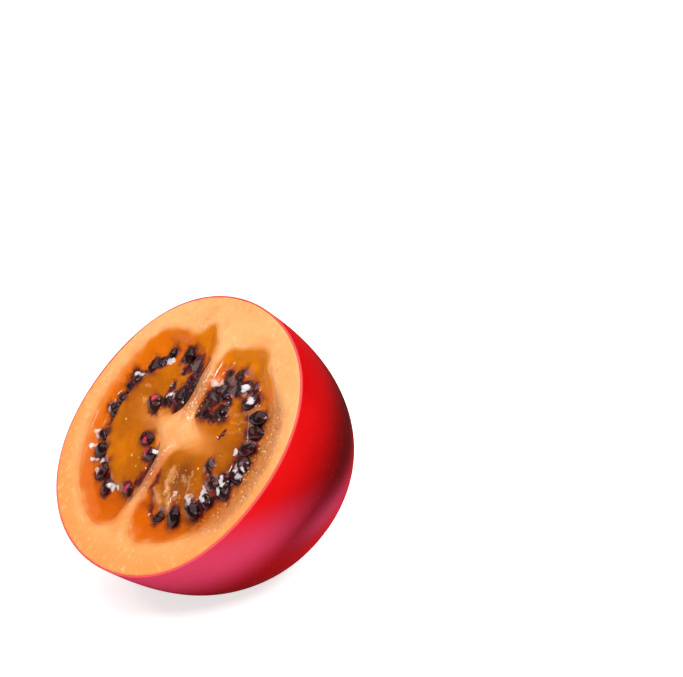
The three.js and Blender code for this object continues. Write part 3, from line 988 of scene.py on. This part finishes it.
def pulp_surface(chamber, u, v):
    """Height and areas of the pulp. Basin: a smooth step down over the basin's width. Lobe: a low dome
    inside the ellipse of seeds, with ribs that run outwards. Seeds: a bell-shaped swelling at each."""
    (cu, cv), (ru, rv) = chamber["lobe"]
    x, y = (u - cu) / ru, (v - cv) / rv
    away, angle = np.hypot(x, y), np.arctan2(y, x)
    lobe = 1 - smooth(0.82, 1.02, away + 0.05 * soft_noise(3 * x + 9, 3 * y + 9, 11))
    d, near, ragged = inside(chamber, u, v), seed_distance(chamber, u, v), raggedness(u, v)
    dark, pale = painted(*bent(u, v), DARK_PATHS), painted(*bent(u, v), PALE_PATHS)
    core, painted_glint, mouth = core_share(u, v), glint_share(u, v), edge_level(u, v)

    basin = mouth - BASIN_DEPTH * (1 - 0.5 * shaded(u, v)) * smooth(0, BASIN_WIDTH, d)
    ribs = RIB_HEIGHT * soft_noise(angle * 7, away * 1.5, 41) * smooth(0.2, 0.6, away)
    dome = LOBE_TOP + LOBE_CROWN * (1 - away**2) + ribs + RIB_HEIGHT * soft_noise(u / 0.8, v / 0.8, 13)
    dome = mouth + (dome - mouth) * smooth(0, 1.2, d)
    height = basin + (dome - basin) * lobe
    height = height + (mouth - height) * core
    height = height + SEED_SWELL * bell(near, 0.85) + JELLY_SWELL * covered(u, v)
    height = height - DARK_DIP * dark + STREAK_RISE * pale + GLINT_RISE * painted_glint
    height = height + RIPPLE_HEIGHT * soft_noise(u / 1.5, v / 1.5, 17) * smooth(0, 1, d)
    height = np.where(d < 0, mouth + 0.9 * d, height)

    smear, juice = bell(np.hypot(u - 5.5, v + 7), 5), bell(np.hypot(u - 6.5, v + 7), 3)
    areas = {
        "lobe": lobe,
        "flesh": 1 - jelly_share(u, v, d),
        "core": np.clip(core, 0, 1),
        "stain": np.clip(np.maximum(1.05 * bell(near, 0.95 * ragged), dark * ragged), 0, 1),
        "cloud": clouded(u, v, ragged),
        "pale": pale * (0.8 + 0.4 * soft_noise(u / 0.5, v / 0.5, 23)),
        "painted_glint": painted_glint,
        # Painted shade along the right edge, plus a browner patch low in the right lobe.
        "shade": np.clip(shaded(u, v) + 0.8 * smear, 0, 1),
        "brown": shade_brown_edge(u, v, d),
        "grain": np.max([wet_edge(u, v, d), wet_wall(u, v), 0.8 * juice], axis=0),
        "gold": smooth(11, 15, v) * smooth(-9.5, -5.5, u),
        "deep": 0.8 * smooth(2, -12, v),
        "fibre": np.stack([angle, away, np.zeros_like(u)], -1),
    }
    return height, areas


# %% [markdown]
# The mesh of a pulp is rings that shrink from the mouth's edge to the chamber's middle, and rings that
# grow again underneath, just off the flesh. A grid would need cutting to the mouth's outline instead.

# %% Pulp meshes
PULP_COLUMNS = 440
PULP_ROWS = 108
UNDER_ROWS = 26
PULP_OVERLAP = 0.25  # how far the pulp reaches under the flesh's edge
FLOOR_GAP = 0.1
EDGE_GAP = 0.3
BOTTOM_GAP = 0.4


def make_pulp(name, chamber, node):
    """Rings of points at equal shares of the way from the chamber's middle to the mouth's edge, which
    is moved out by the overlap."""
    middle = np.array([chamber["middle"], 0])
    arm = smooth_outline(chamber["mouth"], PULP_COLUMNS) - middle
    arm = arm * (1 + PULP_OVERLAP / np.linalg.norm(arm, axis=1))[:, None]
    top = middle + arm * np.linspace(0, 1, PULP_ROWS + 1)[1:, None, None]
    under = middle + arm * np.linspace(1, 0, UNDER_ROWS, endpoint=False)[1:, None, None]
    heights, areas = pulp_surface(chamber, top[..., 0], top[..., 1])
    tip_height, tip_areas = pulp_surface(chamber, middle[:1], middle[1:])
    depth_inside = inside(chamber, under[..., 0], under[..., 1])
    floor = chamber_floor(chamber, under[..., 0], under[..., 1], depth_inside)
    floor = np.minimum(floor + FLOOR_GAP, edge_level(under[..., 0], under[..., 1]) - EDGE_GAP)
    u = np.concatenate([middle[:1], top[..., 0].ravel(), under[..., 0].ravel(), middle[:1]])
    v = np.concatenate([middle[1:], top[..., 1].ravel(), under[..., 1].ravel(), middle[1:]])
    w = np.concatenate([tip_height, heights.ravel(), floor.ravel(), [BOTTOM_GAP - CHAMBER_DEPTH]])
    values = {}
    for key, area in areas.items():
        flat = area.reshape(-1, 3) if area.ndim == 3 else area.ravel()
        hidden = np.zeros((floor.size + 1, *flat.shape[1:]))
        values[key] = np.concatenate([tip_areas[key], flat, hidden])
    rows = len(top) + len(under)
    last = 1 + (rows - 1) * PULP_COLUMNS + np.arange(PULP_COLUMNS)
    faces = [
        fan_faces(0, 1 + np.arange(PULP_COLUMNS)),
        1 + ring_faces(rows, PULP_COLUMNS)[:, ::-1],
        fan_faces(len(u) - 1, last)[:, ::-1],
    ]
    return new_piece(name, place(u, v, w), faces, [node], values)


pulp_pieces = [
    make_pulp("tamarillo_pulp_left", LEFT, "pulp_left"),
    make_pulp("tamarillo_pulp_right", RIGHT_SIDE, "pulp_right"),
]

# %% [markdown]
# The moat is clear bright orange jelly, golden at its top and deeper below. The lobe is amber with fine
# threads running outwards, and the stain round the seeds is a brown that turns to wine red. One material
# mixes them by the stored areas, and a clear coat makes it wet.

# %% Colours of the pulp
AMBER = {
    "clear": rgb(186, 98, 2),
    "bright": rgb(194, 106, 3),
    "dull": rgb(150, 74, 4),
    "dark": rgb(156, 80, 3),
    "brown": rgb(108, 50, 8),
}
STAIN = {
    "cloud": rgb(70, 26, 10),
    "halo": rgb(112, 42, 10),
    "red edge": rgb(110, 16, 14),
    "black": rgb(26, 6, 8),
    "wine": rgb(82, 8, 14),
    "brown": rgb(92, 40, 26),
}
GOLD, DEEP_ORANGE = rgb(196, 108, 6), rgb(190, 86, 1)
# The wet-speck colour and the white and pink ones below are colours of painted glints.
PALE_PULP, BUBBLE, WET_GLINT_SPECK = rgb(222, 160, 100), rgb(240, 190, 96), rgb(236, 190, 130)
WHITE_GLINT, PINK_GLINT = rgb(208, 200, 202), rgb(226, 168, 146)

# %% Amber lobe and orange moat
LARGE_PATCH_SCALE, SMALL_PATCH_SCALE = 100, 260
THREAD_STRETCH = (5, 2.0, 1)  # round the lobe and outwards
THREAD_SCALE = 2.0
pulp_finish, tree, shader = start_material(
    "wet_amber_pulp",
    {
        "Subsurface Weight": 0.3,
        "Subsurface Radius": (1.0, 0.35, 0.08),
        "Subsurface Scale": 0.0014,
        "Specular IOR Level": 0.1,
        "Specular Tint": (1.0, 0.6, 0.3, 1.0),
        "Coat Roughness": 0.06,
    },
)
where = object_position(tree)
zones = "lobe", "flesh", "core", "gold", "deep", "shade", "brown"
marks = "stain", "cloud", "pale", "painted_glint", "grain"
areas = areas_of(tree, *zones, *marks)
outwards = add(tree, "Attribute", {}, attribute_name="fibre").outputs["Vector"]
fibre = add(tree, "Mapping", {"Vector": outwards, "Scale": THREAD_STRETCH}).outputs[0]
threads = noise(tree, fibre, THREAD_SCALE, 3, 0.6)
amber = layered(
    tree,
    mixed(tree, ramped(tree, threads, 0.3, 0.75), AMBER["clear"], AMBER["bright"]),
    (ramped(tree, noise(tree, where, LARGE_PATCH_SCALE, 2), 0.45, 0.7, 0, 0.6), AMBER["dull"]),
    (ramped(tree, noise(tree, where, SMALL_PATCH_SCALE, 3), 0.35, 0.7, 0, 0.75), AMBER["dark"]),
    # Painted shade browns the lobe on the right and low in the right lobe.
    (times(tree, areas["shade"], 0.8), AMBER["brown"]),
)
clean = layered(
    tree,
    moat_colour(tree, where, areas["shade"]),
    (areas["gold"], GOLD),
    (areas["deep"], DEEP_ORANGE),
    (areas["lobe"], amber),
    (areas["core"], FLESH["warm"]),
    # Painted brown shade on the flesh at the right edge.
    (areas["flesh"], mixed(tree, areas["brown"], FLESH["warm"], FLESH["shaded_brown"])),
    (areas["cloud"], STAIN["cloud"]),
)

# %% Stain round the seeds
STAIN_SCALE, BROWN_SCALE = 900, 350
stain_noise = noise(tree, where, STAIN_SCALE, 3)
stain = times(tree, areas["stain"], ramped(tree, stain_noise, 0.2, 0.55, 0.7, 1.0))
browner = ramped(tree, noise(tree, where, BROWN_SCALE, 3), 0.5, 0.75, 0, 0.7)
wine = mixed(tree, ramped(tree, stain_noise, 0.5, 0.66), STAIN["black"], STAIN["wine"])
wine = mixed(tree, browner, wine, STAIN["brown"])
wine = mixed(tree, ramped(tree, stain, 0.42, 0.72), STAIN["red edge"], wine)
halo = mixed(tree, ramped(tree, stain, 0.0, 0.55), clean, STAIN["halo"])
stained = mixed(tree, ramped(tree, stain, 0.36, 0.56), halo, wine)

# %% Streaks, bubbles, grain and film
BUBBLE_SCALE, GLINT_PINK_SCALE = 380, 500
bubbles = ramped(tree, voronoi(tree, where, BUBBLE_SCALE)["Distance"], 0.05, 0.1, 0.8, 0.0)
drops = voronoi(tree, where, GRAIN_SCALE)
# Pale specks painted on the wet grain as glints.
chosen, glint_specks = wet_drops(tree, drops, areas["grain"], sparseness=0.42, strength=0.8)
pinkness = ramped(tree, noise(tree, where, GLINT_PINK_SCALE, 2), 0.54, 0.64)
colour = layered(
    tree,
    stained,
    (areas["pale"], PALE_PULP),
    (times(tree, bubbles, areas["lobe"]), BUBBLE),
    # Painted glints: pale specks on the wet grain.
    (glint_specks, WET_GLINT_SPECK),
    # Painted glints: whitish and pinkish bits on the jelly.
    (areas["painted_glint"], mixed(tree, pinkness, WHITE_GLINT, PINK_GLINT)),
)

# %% Relief and gloss of the pulp
LUMP_SCALE, FINE_SCALE = 900, 1300
LUMP_DEPTH, FINE_DEPTH, THREAD_DEPTH = 0.0005, 0.00014, 0.0001


def greater(tree, a, b):
    """The larger of a and b."""
    return add(tree, "Math", {0: a, 1: b}, operation="MAXIMUM").outputs[0]


wet = bump(tree, drops["Distance"], GRAIN_DEPTH, chosen)
lumps = voronoi(tree, where, LUMP_SCALE, "SMOOTH_F1")["Distance"]
wet = bump(tree, lumps, LUMP_DEPTH, ramped(tree, areas["stain"], 0.1, 0.7, 0.0, 0.8), wet)
uneven = bump(tree, noise(tree, where, FINE_SCALE, 3), FINE_DEPTH, 0.6, wet)
wetness = greater(tree, greater(tree, areas["grain"], areas["painted_glint"]), areas["pale"])
wetness = greater(tree, wetness, ramped(tree, stain, 0, 0.5))
feed(tree, shader, {
    "Base Color": colour,
    "Normal": bump(tree, threads, THREAD_DEPTH, 0.3, uneven),
    "Roughness": ramped(tree, stain, 0, 1, 0.3, 0.12),
    "Coat Weight": ramped(tree, wetness, 0, 1, 0.15, 0.9),
})
dress(pulp_pieces, pulp_finish)

# %% [markdown]
# ## Seeds
# A tamarillo seed is a flat drop, blunt at one end. Each is a ring of sections along its length, with
# soft dents so that no two catch the light alike. Under thick dark jelly a seed lies deeper. Those that
# the knife has opened show a pink kernel, kept to an oval round a place on the cut.

# %% Shape of a seed
SEED_SECTIONS, SEED_SIDES = 22, 26
SEED_SINK = 0.95
SEED_LEAN = 0.16
OPENED = np.array([(-3.1, -11.3), (-2.7, -4.8), (-4.4, -3.5), (-7.5, 3.5)])  # u, v
KERNEL_HALF_WIDTH, KERNEL_HALF_LENGTH = 0.75, 1.4  # in shares of the kernel's radius
KERNEL_RADIUS = 0.6


def turned(a, b, angle):
    """a and b turned round by the angle: each is a sum of cosine and sine shares of the two."""
    return a * math.cos(angle) - b * math.sin(angle), a * math.sin(angle) + b * math.cos(angle)


def seed_shape(n, size, roll, outwards):
    """One seed round its own middle, as steps in u, v and w. Half width follows the root of 1 minus x
    squared, less towards the point, times its dents."""
    x = -np.cos(np.linspace(0, math.pi, SEED_SECTIONS))[1:-1, None]
    t = np.linspace(0, 2 * math.pi, SEED_SIDES, endpoint=False)
    x, t = np.broadcast_arrays(x, t)
    girth = np.sqrt(1 - x**2) * (1 - 0.22 * x - 0.1 * x**2)
    dents = 1 + 0.28 * soft_noise(3 + x * 1.7, 2 + np.sin(t) * 1.3 + 7 * n, 51)
    dents = dents + 0.12 * soft_noise(5 + x * 3.1, 4 + np.cos(t) * 2.1 + 5 * n, 52)
    half_length = 0.5 * SEED_LENGTH * size
    width = 0.5 * SEED_WIDTH * size * girth * np.cos(t) * dents
    thickness = 0.5 * SEED_THICKNESS * size * girth * np.sin(t) * dents
    a = np.append(half_length * x, [-half_length, half_length])
    b, c = turned(np.append(width, [0, 0]), np.append(thickness, [0, 0]), roll)
    a, c = turned(a, c, SEED_LEAN * draw(7 * n + 3.0))
    a, b = turned(a, b, outwards)
    return a, b, c


def seed_faces(start):
    """Cells between the sections, and a fan of triangles over each end, for points from start on."""
    sections = SEED_SECTIONS - 2
    first = start + np.arange(SEED_SIDES)
    final, ends = first + (sections - 1) * SEED_SIDES, start + sections * SEED_SIDES
    cells = start + ring_faces(sections, SEED_SIDES)
    return cells, np.vstack([fan_faces(ends, first)[:, ::-1], fan_faces(ends + 1, final)])


# %% Seed meshes
def make_seeds(name, chamber, node):
    """All seeds of a chamber in one mesh, each set on the pulp's height at its place."""
    places = seed_places(chamber)
    base, _ = pulp_surface(chamber, places[0], places[1])
    points, cells, fans, kernel, tone = [], [], [], [], []
    for n, (su, sv, size, roll, outwards) in enumerate(places.T):
        a, b, c = seed_shape(n, size, roll, outwards)
        u, v, w = su + a, sv + b, base[n] - SEED_SINK * covered(su, sv) + c
        seed_cells, seed_fans = seed_faces(n * len(a))
        points.append(np.stack([u, v, w], -1))
        cells.append(seed_cells)
        fans.append(seed_fans)
        across, along = u[:, None] - OPENED[:, 0], v[:, None] - OPENED[:, 1]
        to_kernel = np.hypot(across / KERNEL_HALF_WIDTH, along / KERNEL_HALF_LENGTH).min(1)
        worn = 0.75 + 0.35 * soft_noise(u / 0.35, v / 0.35, 53)
        kernel.append(smooth(0.2, 0.75, bell(to_kernel, KERNEL_RADIUS)) * worn * smooth(0, 0.3, c))
        tone.append(np.full(len(a), 0.5 + 0.5 * draw(11 * n + 2.0)))
    u, v, w = np.vstack(points).T
    # Painted glints: whitish bits on some seeds.
    values = {"kernel": np.concatenate(kernel), "tone": np.concatenate(tone), "painted_glint": glint_share(u, v)}
    faces = [np.vstack(cells), np.vstack(fans)]
    return new_piece(name, place(u, v, w), faces, [node], values)


seed_pieces = [
    make_seeds("tamarillo_seeds_left", LEFT, "pulp_left"),
    make_seeds("tamarillo_seeds_right", RIGHT_SIDE, "pulp_right"),
]

# %% [markdown]
# A wet seed is nearly black, with wine red and brown in it and sharp small glints. So the base is dark
# and hardly shines by itself, and a smooth clear coat carries the glints over a relief of soft facets.

# %% Finish of the seeds
REDNESS_SCALE, FACET_SCALE, ROUGH_SCALE = 700, 1100, 1500
FACET_DEPTH, ROUGH_DEPTH = 0.0003, 0.00012
SEED = {"black": rgb(18, 4, 6), "wine": rgb(62, 8, 14), "brown": rgb(50, 16, 14), "kernel": rgb(196, 48, 68)}
SEED_GLINT = rgb(214, 206, 206)
seed_finish, tree, shader = start_material(
    "dark_wine_seeds",
    {
        "Subsurface Weight": 0.05,
        "Subsurface Radius": (1.0, 0.2, 0.2),
        "Subsurface Scale": 0.0006,
        "Roughness": 0.2,
        "Specular IOR Level": 0.1,
        "Specular Tint": (1.0, 0.4, 0.4, 1.0),
        "Coat Weight": 0.4,
        "Coat Roughness": 0.04,
    },
)
where = object_position(tree)
areas = areas_of(tree, "kernel", "tone", "painted_glint")
redness = ramped(tree, noise(tree, where, REDNESS_SCALE, 3), 0.4, 0.7)
colour = layered(
    tree,
    mixed(tree, redness, SEED["black"], SEED["wine"]),
    (ramped(tree, areas["tone"], 0.6, 1.2), SEED["brown"]),
    (areas["kernel"], SEED["kernel"]),
    # Painted glints: whitish bits on some seeds.
    (areas["painted_glint"], SEED_GLINT),
)
rough = bump(tree, noise(tree, where, ROUGH_SCALE, 2), ROUGH_DEPTH, 0.5)
facets = voronoi(tree, where, FACET_SCALE, "SMOOTH_F1")["Distance"]
feed(tree, shader, {"Base Color": colour, "Normal": bump(tree, facets, FACET_DEPTH, 0.6, rough)})
dress(seed_pieces, seed_finish)

# %% [markdown]
# ## Floor, light and camera
# The fruit lies on a plain white floor. The floor glows a little by itself, so that it stays white while
# the fruit still gets its colour from the lamps. A camera set back with a long lens looks down at the
# fruit from the right of its cut face, so the round form is hardly drawn out by perspective.

# %% Floor
FLOOR_HALF = 2.5
floor_mesh = bpy.data.meshes.new("floor")
corners = [(-1, -1), (1, -1), (1, 1), (-1, 1)]
floor_mesh.from_pydata([(FLOOR_HALF * x, FLOOR_HALF * y, 0) for x, y in corners], [], [(0, 1, 2, 3)])
floor = bpy.data.objects.new("floor", floor_mesh)
bpy.context.scene.collection.objects.link(floor)
floor_finish, _, _ = start_material(
    "white_floor",
    {
        "Base Color": (0.72, 0.72, 0.72, 1),
        "Roughness": 0.7,
        "Specular IOR Level": 0.2,
        "Emission Color": (1, 1, 1, 1),
        "Emission Strength": 0.7,
    },
)
dress([floor], floor_finish)
floor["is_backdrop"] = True

# %% Camera
CAMERA_TURN = math.radians(48.3)
CAMERA_RISE = math.radians(25)
FACE_IN_VIEW = (-26.60, -14.98, -301.56)  # face centre from the camera: right, up, towards it, in mm
LENS, SENSOR_WIDTH = 100, 36
NEAREST = 0.01
sin_a, cos_a, sin_e, cos_e = (f(x) for x in (CAMERA_TURN, CAMERA_RISE) for f in (math.sin, math.cos))
view_right = np.array([cos_a, sin_a, 0])
view_up = np.array([-sin_a * sin_e, cos_a * sin_e, cos_e])
view_back = np.array([sin_a * cos_e, -cos_a * cos_e, sin_e])
camera = bpy.data.objects.new("camera", bpy.data.cameras.new("camera"))
bpy.context.scene.collection.objects.link(camera)
bpy.context.scene.camera = camera
camera.data.lens = LENS
camera.data.sensor_width = SENSOR_WIDTH
camera.data.clip_start = NEAREST
camera.location = FACE_CENTRE - MM * (
    FACE_IN_VIEW[0] * view_right + FACE_IN_VIEW[1] * view_up + FACE_IN_VIEW[2] * view_back
)
camera.rotation_euler = (math.pi / 2 - CAMERA_RISE, 0, CAMERA_TURN)
print("camera at, mm:", np.round(np.array(camera.location) / MM, 1))


# %% [markdown]
# A small strong lamp high on the right draws the bright band on the skin and the soft shadow beside it.
# A very small one from the left front makes the sharp glints on wet seeds. A wide one overhead and a pale
# surround fill the shadows, as white paper round the fruit would.

# %% Lights
def soft_lamp(name, turn, rise, distance, size, power):
    """A square lamp, aimed at the fruit from an angle round it and a height above the floor."""
    lamp = bpy.data.objects.new(name, bpy.data.lights.new(name, "AREA"))
    bpy.context.scene.collection.objects.link(lamp)
    a, e = math.radians(turn), math.radians(rise)
    away = np.array([math.sin(a) * math.cos(e), -math.cos(a) * math.cos(e), math.sin(e)])
    lamp.location = FACE_CENTRE + distance * away
    lamp.rotation_euler = (math.pi / 2 - e, 0, a)
    lamp.data.size = size
    lamp.data.energy = power
    print(name, "lamp:", power, "W, side", size, "m")


soft_lamp("key", turn=85, rise=50, distance=0.7, size=0.2, power=3.0)
soft_lamp("sparkle", turn=-18, rise=46, distance=0.7, size=0.07, power=0.6)
soft_lamp("overhead", turn=0, rise=90, distance=0.9, size=1.4, power=12)

# %% Surround
SURROUND_STRENGTH = 0.25
world = bpy.data.worlds.new("surround")
world.use_nodes = True
surround = world.node_tree.nodes["Background"]
surround.inputs["Color"].default_value = (1, 1, 1, 1)
surround.inputs["Strength"].default_value = SURROUND_STRENGTH
bpy.context.scene.world = world
bpy.context.scene.view_settings.view_transform = "Standard"

# %% [markdown]
# ## Sizes
# The dressed fruit should keep the size of its solids, so both boxes are printed side by side.

# %% Print the sizes and finish
sizes = {"cad": [list(corner) for corner in cad_box], "visual": [list(corner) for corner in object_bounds()]}
for key, box in sizes.items():
    print(key, "box in mm:", [[round(x / MM, 2) for x in corner] for corner in box])
